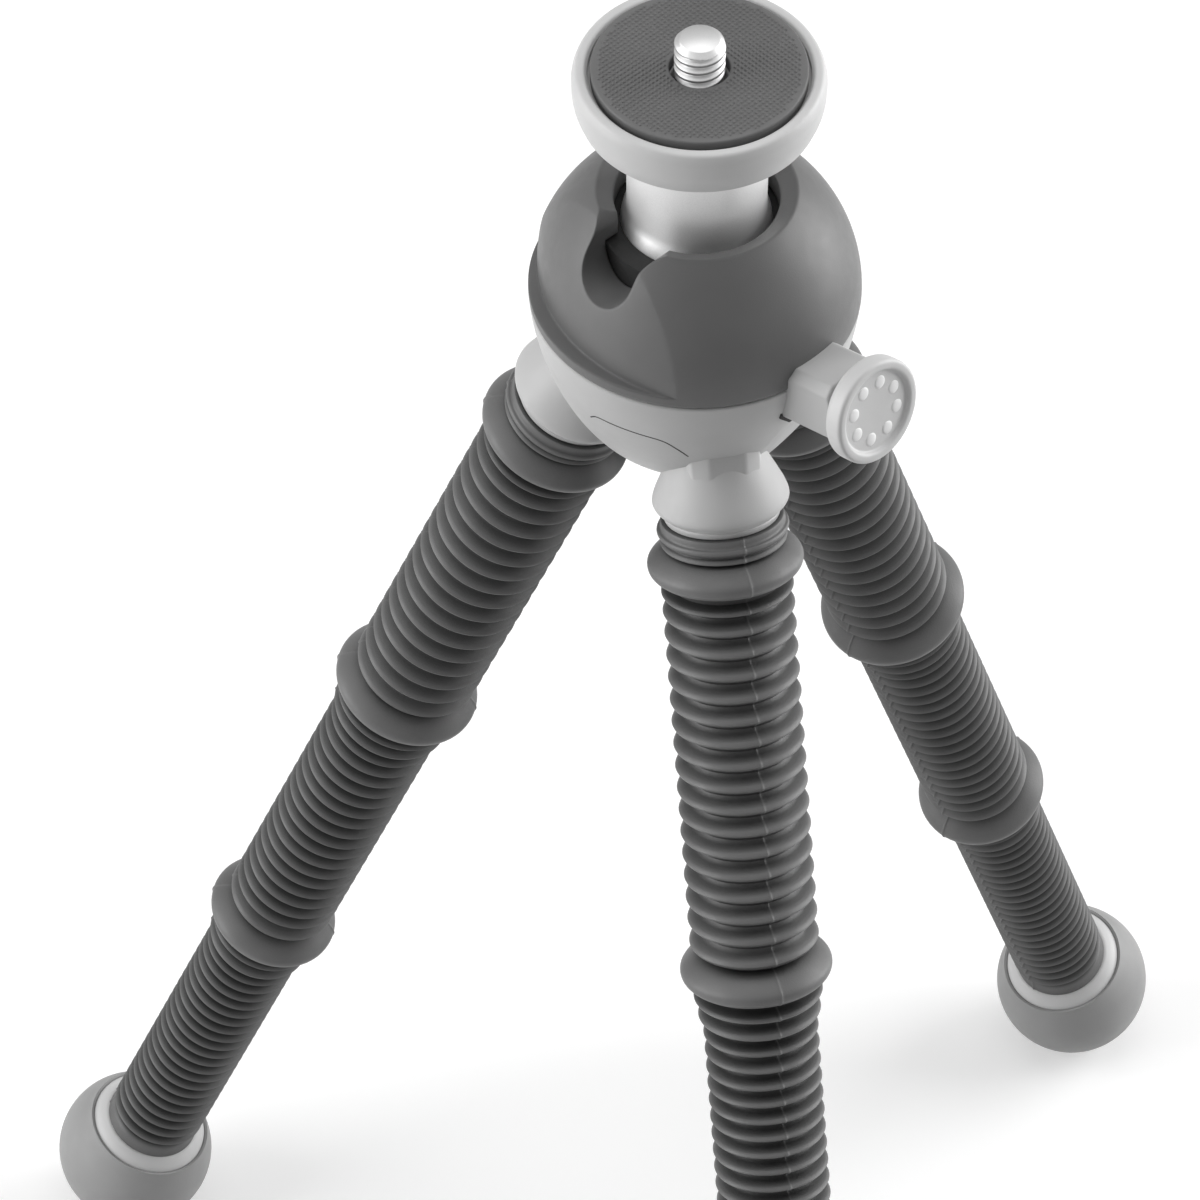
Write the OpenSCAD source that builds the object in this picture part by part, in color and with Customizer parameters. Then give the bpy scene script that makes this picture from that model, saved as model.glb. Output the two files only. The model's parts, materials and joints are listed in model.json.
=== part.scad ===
// Flexible leg tripod: a small ball head on three bendable legs.
// Millimetres. Origin on the vertical axis at floor level, +Z up, front leg towards -Y.

/* [Legs] */
// Lean of each leg from the vertical
splay = 20.5; // [14:0.5:28]
// Distance of each hip joint from the vertical axis
hip_r = 18.6; // [17:0.1:24]
// Hip joint to knee joint
upper_len = 59.8; // [50:0.2:80]
// Knee joint to ankle joint
mid_len = 58.5; // [50:0.2:80]
// Ankle joint to centre of the foot
lower_len = 64.9; // [54:0.2:90]

/* [Sleeves] */
// Crest radius of the upper sleeve
upper_r = 8.5; // [7.8:0.1:9.4]
// Crest radius of the middle sleeve
mid_r = 7.6; // [7:0.1:8.6]
// Crest radius of the lower sleeve
lower_r = 6.75; // [6.3:0.05:7.6]
// Ribs on the upper sleeve
upper_ribs = 14; // [6:1:16]
// Ribs on the middle sleeve
mid_ribs = 17; // [6:1:19]
// Ribs on the lower sleeve
lower_ribs = 21; // [6:1:23]
// Depth of the grooves between ribs
groove = 1.0; // [0.6:0.1:1.4]
// Radial rubber thickness under the grooves
sleeve_wall = 1.9; // [1.4:0.1:2.3]
// How far each bulge ring stands out from the sleeve above it
ring_out = 1.5; // [1:0.1:2.2]
// Half the length of a bulge ring
ring_half = 3; // [2.6:0.1:3.4]
// Height of a ring's crest above its joint
ring_lift = 1; // [0.6:0.1:1.4]
// How far the first rib under a knee or ankle ring stands out from the sleeve below it
ring_taper = 0.9; // [0.4:0.1:1.2]
// Half the length of the stretch that bends at each ring
bend_half = 7.2; // [6.6:0.1:8]

/* [Joints in the legs] */
// Radius of the ball in each joint
ball_r = 3.4; // [2.8:0.1:3.8]
// Wall of the sockets
socket_wall = 1.1; // [0.9:0.1:1.4]
// Radius of the necks that carry the balls
ball_neck_r = 1.6; // [1.2:0.1:2]
// Running gap round each ball
ball_gap = 0.08; // [0.05:0.01:0.15]
// Radial gap between a core and its sleeve
core_gap = 0.1; // [0.05:0.01:0.3]

/* [Collars] */
// Radius of a collar's flared edge
collar_r = 8.75; // [8:0.05:9.2]
// Radius of a collar's neck where it enters the hub
collar_neck_r = 4.7; // [4:0.1:5.4]
// Length of a collar above its hip joint
collar_len = 23; // [20:0.5:25]

/* [Feet] */
// Radius of the rubber foot
foot_r = 11.2; // [10:0.1:13]
// Height of the worn flat under each foot
foot_flat = 0.2; // [0.1:0.05:0.5]
// Radius of the opening in the top of the foot
foot_open_r = 8.7; // [7.8:0.1:9.4]
// Wall of the rubber foot
foot_wall = 2.4; // [1.8:0.1:3]

/* [Hub] */
// Height of the seam between bowl and dome above the hip joints
seam_up = 31.4; // [29:0.2:36]
// Radius of the dome's sphere
dome_r = 21; // [20:0.1:23]
// Radius of the hollow inside the dome
cavity_r = 12.4; // [12:0.1:12.6]
// Height of the sphere's centre above the seam
dome_rise = 1; // [0.5:0.1:2]
// Depth of the bowl under the seam
bowl_depth = 24; // [22:0.5:26]
// Chamfer along the lock boss
boss_chamfer = 1.2; // [0.6:0.1:2]
// Radius of the opening in the top of the dome
mouth_r = 10.4; // [10.2:0.05:11.2]
// Height of the dome's lip above the seam
lip_up = 18; // [17.6:0.1:18.6]
// Depth of the dished ring round the mouth
dish = 1.1; // [0.4:0.1:1.4]
// Distance of the dome's flat side from the axis
flat_r = 13.7; // [13.5:0.1:17]
// Direction of the flat side round the axis
flat_az = -160; // [-165:1:-145]
// Height of the ledge under the flat side above the seam
ledge_up = 2.2; // [1.4:0.1:4]

/* [Notch] */
// Width of the notch in the dome
notch_w = 9.2; // [7:0.1:10]
// Height of the centre of the notch's round bottom above the seam
notch_up = 12.4; // [11:0.1:14]
// Radius of the notch's shoulders
shoulder_r = 2.6; // [1:0.1:3]
// Direction of the notch round the axis
notch_az = -148; // [-156:1:-140]

/* [Ball head] */
// Radius of the head's ball
head_ball_r = 9.6; // [9.3:0.05:9.8]
// Height of the ball's centre above the seam
ball_up = 12; // [11:0.1:12.6]
// Radius of the stem at the ball
stem_low_r = 8.8; // [8:0.1:8.9]
// Radius of the stem under the plate
stem_top_r = 9.35; // [9:0.05:11]
// Height of the plate's underside above the seam
plate_up = 31.3; // [30:0.1:36]
// Radius of the plate
plate_r = 15.75; // [15:0.05:20]
// Thickness of the plate up to its rim
plate_t = 6.85; // [6.2:0.05:9]
// Radius of the rubber pad
pad_r = 13.4; // [11:0.1:14]
// Thickness of the rubber pad
pad_t = 1.75; // [1.2:0.05:2.4]
// Height of the pad above the plate's rim
pad_proud = 0.5; // [0.2:0.05:0.8]
// Radius of the camera screw, quarter inch thread
screw_r = 3.175; // [3.175:0.001:4.763]
// Length of camera screw above the pad
screw_len = 4.7; // [4:0.1:6]
// Running gap of turning parts
run_gap = 0.08; // [0.05:0.01:0.15]

/* [Lock] */
// Direction of the lock knob round the axis
lock_az = -58; // [-62:1:-54]
// Upward tilt of the knob's axis
lock_tilt = 13; // [10:0.5:15]
// Height above the seam at which the knob's axis crosses the vertical axis
lock_up = -6.2; // [-6.6:0.1:-5.8]
// Distance of the knob's face from the vertical axis, along its own axis
knob_out = 32.6; // [31.6:0.1:36]
// Radius of the knob
knob_r = 6.95; // [6:0.05:7.6]
// Thickness of the knob
knob_t = 3.1; // [2.8:0.1:4]
// Radius of each white dot on the knob
dot_r = 0.66; // [0.4:0.02:0.8]
// Radius of the circle that the dots lie on
dot_ring_r = 3.9; // [3:0.05:4.2]
// Number of dots on the knob
dot_count = 8; // [6:1:10]
// Width of the boss behind the knob
boss_w = 9; // [8:0.1:10]
// Radius of the lock screw
lock_screw_r = 2; // [1.6:0.1:2.2]

/* [Hidden] */

$fn = 96;
front_az = -90;
right_az = 30;
left_az = 150;

// Heights above the floor, worked up from the feet
foot_z = foot_r - foot_flat;
hip_z = foot_z + (upper_len + mid_len + lower_len) * cos(splay);
seam_z = hip_z + seam_up;
dome_z = seam_z + dome_rise;
lip_z = seam_z + lip_up;
ball_z = seam_z + ball_up;
plate_z = seam_z + plate_up;
rim_z = plate_z + plate_t;
pad_top_z = rim_z + pad_proud;
lock_z = seam_z + lock_up;

// The lock pin, and the cup that stands clear over it
pin_r = lock_screw_r + 1;
pin_start = 4.85;
pin_end = 12;
cup_r = head_ball_r + 0.4;
cup_z = lock_z + (cup_r + pin_r * sin(lock_tilt)) * tan(lock_tilt) + pin_r * cos(lock_tilt) + 0.3;
stub_r = 3.8;

// Height of the ring that holds the ball down
seat_h = ball_up + 1.3;

// Distances along a leg from its hip joint
knee_s = upper_len;
ankle_s = upper_len + mid_len;
foot_s = upper_len + mid_len + lower_len;
foot_face = sqrt(foot_r * foot_r - foot_open_r * foot_open_r);
cup_drop = 0.9;
sleeve_end_s = foot_s - foot_face + cup_drop;

// Bores of the sleeves, and the sockets that fit inside the cuffs
upper_bore = upper_r - groove - sleeve_wall;
mid_bore = mid_r - groove - sleeve_wall;
lower_bore = lower_r - groove - sleeve_wall;
socket_r = ball_r + ball_gap + socket_wall;
cuff_bore = socket_r + 0.3;
cuff_top_s = 7.5;
core_cone = 1.4;
bead_r = collar_r - 0.25;
plug_r = collar_r - 1.6;
plug_bottom_s = 5;

// Where a ring ends under its joint, and the pitch of the two ribs between it and the next sleeve
ring_foot = ring_half - ring_lift;
under_pitch = (bend_half - ring_foot) / 2;

big = 60;

// Places children with +Z running down a leg from its hip joint
module on_leg(az)
    rotate([0, 0, az])
        translate([hip_r, 0, hip_z])
            rotate([0, 180 - splay, 0])
                children();

// Places children with +Z running outwards along the lock knob's axis
module on_lock()
    translate([0, 0, lock_z])
        rotate([0, 0, lock_az])
            rotate([0, 90 - lock_tilt, 0])
                children();

// Outline points of one rib that starts at z0: groove, flank, crest, flank
function rib(z0, pitch, crest) = [
    [crest - groove, z0],
    [crest - groove, z0 + 0.16 * pitch],
    [crest - 0.25 * groove, z0 + 0.34 * pitch],
    [crest, z0 + 0.5 * pitch],
    [crest, z0 + 0.66 * pitch],
    [crest - 0.25 * groove, z0 + 0.8 * pitch],
    [crest - groove, z0 + 0.96 * pitch]
];

function ribs(z0, z1, count, crest) = [
    for (i = [0 : count - 1])
        each rib(z0 + i * (z1 - z0) / count, (z1 - z0) / count, crest)
];

// A ribbed tube between two places on a leg
module ribbed_tube(z0, z1, count, crest, bore)
    rotate_extrude()
        polygon(concat(
            [[bore, z0]],
            ribs(z0, z1, count, crest),
            [[crest - groove, z1], [bore, z1]]
        ));

// Outline of a bulge ring about its joint, from its upper edge to its lower edge
function ring_outline(s, over, under) = [
    [over - groove, s - ring_lift - ring_half],
    [over - 0.4 * groove, s - ring_lift - 0.84 * ring_half],
    [over + 0.3 * ring_out, s - ring_lift - 0.58 * ring_half],
    [over + 0.75 * ring_out, s - ring_lift - 0.3 * ring_half],
    [over + ring_out, s - ring_lift],
    [over + 0.92 * ring_out, s - ring_lift + 0.4 * ring_half],
    [over + 0.5 * ring_out, s - ring_lift + 0.7 * ring_half],
    [under - groove, s - ring_lift + ring_half]
];

// Two ribs between a ring and the sleeve under it, the first one larger
function ribs_under(s, under, taper) = concat(
    rib(s + ring_foot, under_pitch, under + taper),
    rib(s + ring_foot + under_pitch, under_pitch, under + 0.5 * taper)
);

// The soft stretch over a joint: a rib, a bulge ring and two ribs under it
module cuff(s, over, under)
    rotate_extrude()
        polygon(concat(
            [[cuff_bore, s - bend_half]],
            rib(s - bend_half, bend_half - ring_lift - ring_half, over),
            ring_outline(s, over, under + ring_taper),
            ribs_under(s, under, ring_taper),
            [[under - groove, s + bend_half], [cuff_bore, s + bend_half]]
        ));

// The top cuff also grips the collar with a bead
module hip_cuff(az)
    color("dimgray")
        on_leg(az)
            rotate_extrude()
                polygon(concat(
                    [
                        [plug_r + core_gap, -cuff_top_s],
                        [bead_r - 0.7, -cuff_top_s],
                        [bead_r, -cuff_top_s + 0.8],
                        [bead_r, -cuff_top_s + 1.9],
                        [bead_r - 0.7, -cuff_top_s + 2.6]
                    ],
                    ring_outline(0, upper_r, upper_r),
                    ribs_under(0, upper_r, 0),
                    [
                        [upper_r - groove, bend_half],
                        [cuff_bore, bend_half],
                        [cuff_bore, -plug_bottom_s + 0.3],
                        [plug_r + core_gap, -plug_bottom_s + 0.3]
                    ]
                ));

module knee_cuff(az)
    color("dimgray")
        on_leg(az)
            cuff(knee_s, upper_r, mid_r);

module ankle_cuff(az)
    color("dimgray")
        on_leg(az)
            cuff(ankle_s, mid_r, lower_r);

// Ball and its neck at the top of a core
module core_head(s, bore) {
    translate([0, 0, s])
        sphere(r = ball_r);
    translate([0, 0, s])
        cylinder(r = ball_neck_r, h = bend_half + 0.2);
    translate([0, 0, s + bend_half + 0.1])
        cylinder(r1 = ball_neck_r, r2 = bore - core_gap, h = core_cone);
}

// Core of one leg section: a ball at the top, a rod in the sleeve and a socket at the bottom
module core(s0, s1, bore)
    difference() {
        union() {
            core_head(s0, bore);
            translate([0, 0, s0 + bend_half + 0.1 + core_cone])
                cylinder(r = bore - core_gap, h = s1 - s0 - 2 * (bend_half + 0.1 + core_cone));
            translate([0, 0, s1 - bend_half - 0.1 - core_cone])
                cylinder(r1 = bore - core_gap, r2 = 0.8 * socket_r, h = core_cone);
            translate([0, 0, s1 - bend_half - 0.2])
                cylinder(r = 0.8 * socket_r, h = bend_half + 0.2 - 0.6 * socket_r);
            translate([0, 0, s1])
                sphere(r = socket_r);
        }
        translate([0, 0, s1])
            sphere(r = ball_r + ball_gap);
        translate([0, 0, s1 + big / 2 + 0.25 * ball_r])
            cube([big, big, big], center = true);
    }

module upper_core(az)
    color("silver")
        on_leg(az)
            core(0, knee_s, upper_bore);

module mid_core(az)
    color("silver")
        on_leg(az)
            core(knee_s, ankle_s, mid_bore);

// The lowest core ends in a stub that the foot is screwed onto
module lower_core(az)
    color("silver")
        on_leg(az) {
            core_head(ankle_s, lower_bore);
            translate([0, 0, ankle_s + bend_half + 0.1 + core_cone])
                cylinder(
                    r = lower_bore - core_gap,
                    h = foot_s - ankle_s - bend_half - 0.1 - core_cone
                );
        }

module upper_sleeve(az)
    color("dimgray")
        on_leg(az)
            ribbed_tube(bend_half, knee_s - bend_half, upper_ribs, upper_r, upper_bore);

module mid_sleeve(az)
    color("dimgray")
        on_leg(az)
            ribbed_tube(knee_s + bend_half, ankle_s - bend_half, mid_ribs, mid_r, mid_bore);

// The lower sleeve ends in a smooth skirt that meets the foot
module lower_sleeve(az)
    color("dimgray")
        on_leg(az)
            rotate_extrude()
                polygon(concat(
                    [[lower_bore, ankle_s + bend_half]],
                    ribs(ankle_s + bend_half, sleeve_end_s - 4, lower_ribs, lower_r),
                    [
                        [lower_r - groove, sleeve_end_s - 4],
                        [lower_r - 0.7, sleeve_end_s - 3.2],
                        [lower_r - 0.4, sleeve_end_s],
                        [lower_bore, sleeve_end_s]
                    ]
                ));

// Outline of a collar's bell, or of the space it needs in the bowl
function bell(gap) = [
    [collar_neck_r + gap, -18.6],
    [collar_neck_r + 0.7 + gap, -16.8],
    [collar_r - 1.85 + gap, -14.6],
    [collar_r - 0.85 + gap, -12.6],
    [collar_r - 0.25 + gap, -11.1],
    [collar_r + gap, -9.9]
];

// Hard collar between hub and sleeve: a neck, a bell and a plug inside the cuff
module collar(az)
    color("lightgray")
        on_leg(az)
            difference() {
                union() {
                    rotate_extrude()
                        polygon(concat(
                            [
                                [0, -collar_len],
                                [collar_neck_r - 0.5, -collar_len],
                                [collar_neck_r, -collar_len + 0.5]
                            ],
                            bell(0),
                            [
                                [collar_r - 0.2, -9.2],
                                [plug_r + 0.4, -8.3],
                                [plug_r, -cuff_top_s - 0.1],
                                [plug_r, -plug_bottom_s],
                                [0.8 * socket_r, -plug_bottom_s],
                                [0.8 * socket_r, -0.6 * socket_r],
                                [0, -0.6 * socket_r]
                            ]
                        ));
                    sphere(r = socket_r);
                }
                sphere(r = ball_r + ball_gap);
                translate([0, 0, big / 2 + 0.25 * ball_r])
                    cube([big, big, big], center = true);
            }

// Pale cup in the foot, with a socket for the end of the core
module foot_cup(az)
    color("gainsboro")
        on_leg(az)
            translate([0, 0, foot_s])
                difference() {
                    union() {
                        sphere(r = foot_r - foot_wall - 0.1);
                        translate([0, 0, -foot_face + 0.6])
                            cylinder(r = foot_open_r - 0.1, h = foot_face - 0.6);
                    }
                    translate([0, 0, -foot_face + 0.6 - big / 2])
                        cube([big, big, big], center = true);
                    translate([0, 0, -foot_face + 0.6 - 0.1])
                        cylinder(r1 = foot_open_r - 0.6, r2 = lower_r - 0.2, h = cup_drop - 0.4);
                    translate([0, 0, -big])
                        cylinder(r = lower_r - 0.2, h = big - foot_face + cup_drop + 0.1);
                    translate([0, 0, -big])
                        cylinder(r = lower_bore, h = big + 0.2);
                }

// Rubber ball of the foot, open at the top and worn flat where it stands
module foot_ball(az)
    color("gray")
        difference() {
            on_leg(az)
                translate([0, 0, foot_s])
                    difference() {
                        sphere(r = foot_r);
                        sphere(r = foot_r - foot_wall);
                        translate([0, 0, -big])
                            cylinder(r = foot_open_r, h = big);
                    }
            rotate([0, 0, az])
                translate([0, 0, -big / 2])
                    cube([4 * big, 4 * big, big], center = true);
        }

// The boss that carries the lock screw, between the bowl and the knob
module boss(grow)
    on_lock()
        translate([0, 0, 8])
            linear_extrude(height = knob_out - knob_t - 1.2 - 8)
                chamfered_square(boss_w / 2 + grow, boss_chamfer);

module chamfered_square(half, cut)
    polygon([
        [half, half - cut],
        [half - cut, half],
        [cut - half, half],
        [-half, half - cut],
        [-half, cut - half],
        [cut - half, -half],
        [half - cut, -half],
        [half, cut - half]
    ]);

// Light bowl under the dome, with bores for the collars, a cup well and the lock boss
module hub_bowl()
    color("lightgray")
        difference() {
            union() {
                translate([0, 0, seam_z])
                    rotate_extrude()
                        polygon(concat(
                            [[0, 0]],
                            [
                                for (a = [0 : 9 : 90])
                                    [(dome_r - 0.1) * pow(cos(a), 0.95), -bowl_depth * pow(sin(a), 1.06)]
                            ]
                        ));
                intersection() {
                    boss(0);
                    translate([0, 0, seam_z])
                        cylinder(r = 2 * dome_r, h = 2 * big, center = true);
                }
            }
            translate([0, 0, cup_z - 0.3])
                cylinder(r = cup_r + 0.3, h = big);
            translate([0, 0, lock_z - 3.6])
                cylinder(r = stub_r + 0.4, h = big);
            on_lock()
                cylinder(r = lock_screw_r + run_gap, h = big);
            on_lock()
                translate([0, 0, pin_start - 1])
                    cylinder(r = pin_r + run_gap, h = pin_end - pin_start + 1.6);
            for (az = [front_az, right_az, left_az])
                on_leg(az)
                    rotate_extrude()
                        polygon(concat(
                            [
                                [0, -collar_len - 0.2],
                                [collar_neck_r + core_gap, -collar_len - 0.2]
                            ],
                            bell(core_gap),
                            [[collar_r + core_gap, big], [0, big]]
                        ));
        }

// Notch outline: a round-bottomed slot with rounded shoulders at the lip
module notch_outline() {
    circle(d = notch_w);
    translate([-notch_w / 2, 0])
        square([notch_w, big]);
    difference() {
        translate([-notch_w / 2 - shoulder_r, lip_up - notch_up - shoulder_r])
            square([notch_w + 2 * shoulder_r, big]);
        for (side = [-1, 1])
            translate([side * (notch_w / 2 + shoulder_r), lip_up - notch_up - shoulder_r])
                circle(r = shoulder_r);
        translate([-big / 2, -big + lip_up - notch_up - shoulder_r])
            square([big, big]);
    }
}

// Dark dome over the ball, with its dished mouth, flat side, notch and a cut-out round the lock boss
module dome()
    color("dimgray")
        difference() {
            translate([0, 0, dome_z])
                sphere(r = dome_r);
            translate([0, 0, seam_z - big / 2])
                cube([2 * big, 2 * big, big], center = true);
            translate([0, 0, seam_z - 1])
                cylinder(r = cavity_r, h = seat_h + 1.3);
            cylinder(r = mouth_r, h = 10 * big);
            translate([0, 0, lip_z - dish])
                cylinder(r1 = mouth_r, r2 = mouth_r + 2.6, h = dish);
            translate([0, 0, lip_z])
                cylinder(r = dome_r, h = big);
            rotate([0, 0, flat_az])
                translate([flat_r, -big, seam_z + ledge_up])
                    cube([big, 2 * big, big]);
            rotate([0, 0, notch_az])
                translate([0, 0, seam_z + notch_up])
                    rotate([90, 0, 90])
                        linear_extrude(height = big)
                            notch_outline();
            boss(0.3);
        }

// Ring inside the dome that holds the ball down
module ball_seat()
    color("black")
        difference() {
            translate([0, 0, seam_z])
                cylinder(r = cavity_r - 0.1, h = seat_h);
            translate([0, 0, ball_z])
                sphere(r = head_ball_r + run_gap);
            translate([0, 0, seam_z - 1])
                cylinder(r = cup_r + 0.3, h = ball_up - 2.4);
            boss(0.3);
        }

// Cup under the ball, pressed up by the lock pin when the knob is tightened
module pressure_cup()
    color("ivory")
        difference() {
            union() {
                translate([0, 0, cup_z])
                    cylinder(r = cup_r, h = ball_z - cup_z - 4.4);
                translate([0, 0, lock_z - 3.2])
                    cylinder(r1 = stub_r - 0.6, r2 = stub_r, h = cup_z - lock_z + 3.4);
            }
            translate([0, 0, ball_z])
                sphere(r = head_ball_r + run_gap);
        }

// Silver ball with its stem and the spigot that the plate turns on
module ball_stem()
    color("silver")
        union() {
            translate([0, 0, ball_z])
                sphere(r = head_ball_r);
            translate([0, 0, ball_z + sqrt(pow(head_ball_r, 2) - pow(stem_low_r, 2)) - 0.4])
                cylinder(
                    r1 = stem_low_r - 0.2,
                    r2 = stem_top_r,
                    h = plate_up - ball_up - sqrt(pow(head_ball_r, 2) - pow(stem_low_r, 2)) + 0.15
                );
            translate([0, 0, ball_z])
                cylinder(r = 4, h = plate_up - ball_up + 3.8);
        }

// Dished plate with a bore for the spigot and a seat for the screw's head
module plate()
    color("gainsboro")
        translate([0, 0, plate_z])
            difference() {
                rotate_extrude()
                    polygon([
                        [0, 0],
                        [plate_r - 1.4, 0],
                        [plate_r - 0.95, 0.35],
                        [plate_r - 0.1, plate_t - 2],
                        [plate_r, plate_t - 1.5],
                        [plate_r - 0.25, plate_t - 0.5],
                        [plate_r - 0.9, plate_t],
                        [pad_r + 0.75, plate_t],
                        [pad_r + 0.35, plate_t - 0.35],
                        [pad_r + 0.35, plate_t + pad_proud - pad_t],
                        [0, plate_t + pad_proud - pad_t]
                    ]);
                translate([0, 0, -1])
                    cylinder(r = 4 + run_gap, h = 5);
                translate([0, 0, -1])
                    cylinder(r = screw_r + 0.15, h = big);
                translate([0, 0, plate_t + pad_proud - pad_t - 1.3])
                    cylinder(r = 6.1, h = big);
            }

// Round rubber pad with a hole for the screw
module plate_pad()
    color("dimgray")
        translate([0, 0, pad_top_z - pad_t])
            difference() {
                rotate_extrude()
                    polygon([
                        [0, 0],
                        [pad_r, 0],
                        [pad_r, pad_t - 0.3],
                        [pad_r - 0.3, pad_t],
                        [0, pad_t]
                    ]);
                translate([0, 0, -1])
                    cylinder(r = screw_r + 0.6, h = big);
            }

// Quarter inch camera screw with its round head under the pad
module camera_screw()
    color("silver") {
        translate([0, 0, pad_top_z - pad_t - 1.3])
            cylinder(r = 6, h = 1.2);
        translate([0, 0, pad_top_z - pad_t - 1.3])
            cylinder(r = screw_r - 0.55, h = pad_t + 1.4);
        translate([0, 0, pad_top_z])
            cylinder(r = screw_r, h = screw_len - 0.5);
        translate([0, 0, pad_top_z + screw_len - 0.5])
            cylinder(r1 = screw_r, r2 = screw_r - 0.5, h = 0.5);
    }

// Lock knob: a rim, a sunk face with holes for the dots, and a bore for its screw
module lock_knob()
    color("lightgray")
        on_lock()
            translate([0, 0, knob_out - knob_t])
                difference() {
                    rotate_extrude()
                        polygon([
                            [0, 0],
                            [knob_r - 1, 0],
                            [knob_r - 0.3, 0.5],
                            [knob_r, 1.2],
                            [knob_r, knob_t - 0.9],
                            [knob_r - 0.5, knob_t - 0.15],
                            [knob_r - 1, knob_t],
                            [knob_r - 1.5, knob_t - 0.15],
                            [knob_r - 1.8, knob_t - 0.6],
                            [0, knob_t - 0.6]
                        ]);
                    for (i = [0 : dot_count - 1])
                        rotate([0, 0, (i + 0.5) * 360 / dot_count])
                            translate([dot_ring_r, 0, knob_t - 1.2])
                                cylinder(r = dot_r + 0.02, h = 2, $fn = 24);
                    translate([0, 0, -1])
                        cylinder(r = lock_screw_r + 0.05, h = 2.5);
                }

// White dots let into the knob's face
module lock_dots()
    color("white")
        on_lock()
            translate([0, 0, knob_out - knob_t])
                for (i = [0 : dot_count - 1])
                    rotate([0, 0, (i + 0.5) * 360 / dot_count])
                        translate([dot_ring_r, 0, knob_t - 1.15])
                            cylinder(r = dot_r, h = 0.65, $fn = 24);

// Screw fixed in the knob, which drives the lock pin inwards
module lock_screw()
    color("silver")
        on_lock()
            translate([0, 0, pin_end + 0.8])
                cylinder(r = lock_screw_r, h = knob_out - knob_t + 1.4 - pin_end - 0.8);

// Pin that presses on the cup's stub
module lock_pin()
    color("silver")
        on_lock()
            translate([0, 0, pin_start])
                cylinder(r = pin_r, h = pin_end - pin_start);

hub_bowl();
dome();
ball_seat();
pressure_cup();
ball_stem();
plate();
plate_pad();
camera_screw();
lock_knob();
lock_dots();
lock_screw();
lock_pin();
collar(front_az);  // front_collar
hip_cuff(front_az);  // front_hip_cuff
upper_core(front_az);  // front_upper_core
upper_sleeve(front_az);  // front_upper_sleeve
knee_cuff(front_az);  // front_knee_cuff
mid_core(front_az);  // front_mid_core
mid_sleeve(front_az);  // front_mid_sleeve
ankle_cuff(front_az);  // front_ankle_cuff
lower_core(front_az);  // front_lower_core
lower_sleeve(front_az);  // front_lower_sleeve
foot_cup(front_az);  // front_foot_cup
foot_ball(front_az);  // front_foot_ball
collar(right_az);  // right_collar
hip_cuff(right_az);  // right_hip_cuff
upper_core(right_az);  // right_upper_core
upper_sleeve(right_az);  // right_upper_sleeve
knee_cuff(right_az);  // right_knee_cuff
mid_core(right_az);  // right_mid_core
mid_sleeve(right_az);  // right_mid_sleeve
ankle_cuff(right_az);  // right_ankle_cuff
lower_core(right_az);  // right_lower_core
lower_sleeve(right_az);  // right_lower_sleeve
foot_cup(right_az);  // right_foot_cup
foot_ball(right_az);  // right_foot_ball
collar(left_az);  // left_collar
hip_cuff(left_az);  // left_hip_cuff
upper_core(left_az);  // left_upper_core
upper_sleeve(left_az);  // left_upper_sleeve
knee_cuff(left_az);  // left_knee_cuff
mid_core(left_az);  // left_mid_core
mid_sleeve(left_az);  // left_mid_sleeve
ankle_cuff(left_az);  // left_ankle_cuff
lower_core(left_az);  // left_lower_core
lower_sleeve(left_az);  // left_lower_sleeve
foot_cup(left_az);  // left_foot_cup
foot_ball(left_az);  // left_foot_ball
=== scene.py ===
"""Looks of the flexible leg tripod: fine shapes, finishes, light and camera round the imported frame."""
import json
import math

import bmesh
import bpy
import numpy as np
from mathutils import Matrix, Vector


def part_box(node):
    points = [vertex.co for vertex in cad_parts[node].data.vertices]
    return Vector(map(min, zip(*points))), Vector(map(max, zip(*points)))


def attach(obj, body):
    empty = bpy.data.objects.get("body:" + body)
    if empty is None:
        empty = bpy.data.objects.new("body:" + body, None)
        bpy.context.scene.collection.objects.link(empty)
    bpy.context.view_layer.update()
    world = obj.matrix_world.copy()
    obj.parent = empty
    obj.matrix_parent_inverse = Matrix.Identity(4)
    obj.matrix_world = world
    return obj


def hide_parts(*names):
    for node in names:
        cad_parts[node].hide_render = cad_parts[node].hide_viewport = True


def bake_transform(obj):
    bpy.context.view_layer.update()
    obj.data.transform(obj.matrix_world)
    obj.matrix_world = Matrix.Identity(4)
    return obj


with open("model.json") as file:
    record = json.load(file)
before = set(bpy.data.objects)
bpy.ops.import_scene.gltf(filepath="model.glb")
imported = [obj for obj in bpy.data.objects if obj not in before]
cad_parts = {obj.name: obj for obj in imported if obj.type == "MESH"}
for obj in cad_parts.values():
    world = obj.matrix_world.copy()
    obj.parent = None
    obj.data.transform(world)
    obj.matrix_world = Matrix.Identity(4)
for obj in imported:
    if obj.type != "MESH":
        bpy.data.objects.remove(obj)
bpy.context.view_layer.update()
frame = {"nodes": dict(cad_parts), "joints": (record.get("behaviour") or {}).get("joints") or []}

# Sizes are in millimetres and angles in degrees. A name with _R is a radius, _AZ an azimuth and
# _EL an elevation. Places along a leg are measured from its hip joint, or from the joint itself.
MM = 0.001
LEGS = ("front", "right", "left")
JOINTS = {joint["name"]: joint for joint in frame["joints"]}

# Legs: crest radii and rib counts of the three lengths
UPPER_R = 8.5
MID_R = 7.6
LOWER_R = 6.75
UPPER_RIBS = 14
MID_RIBS = 17
LOWER_RIBS = 21
GROOVE = 1.8
RIB_SHARPNESS = 1.9
SKIN = 0.5

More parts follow.
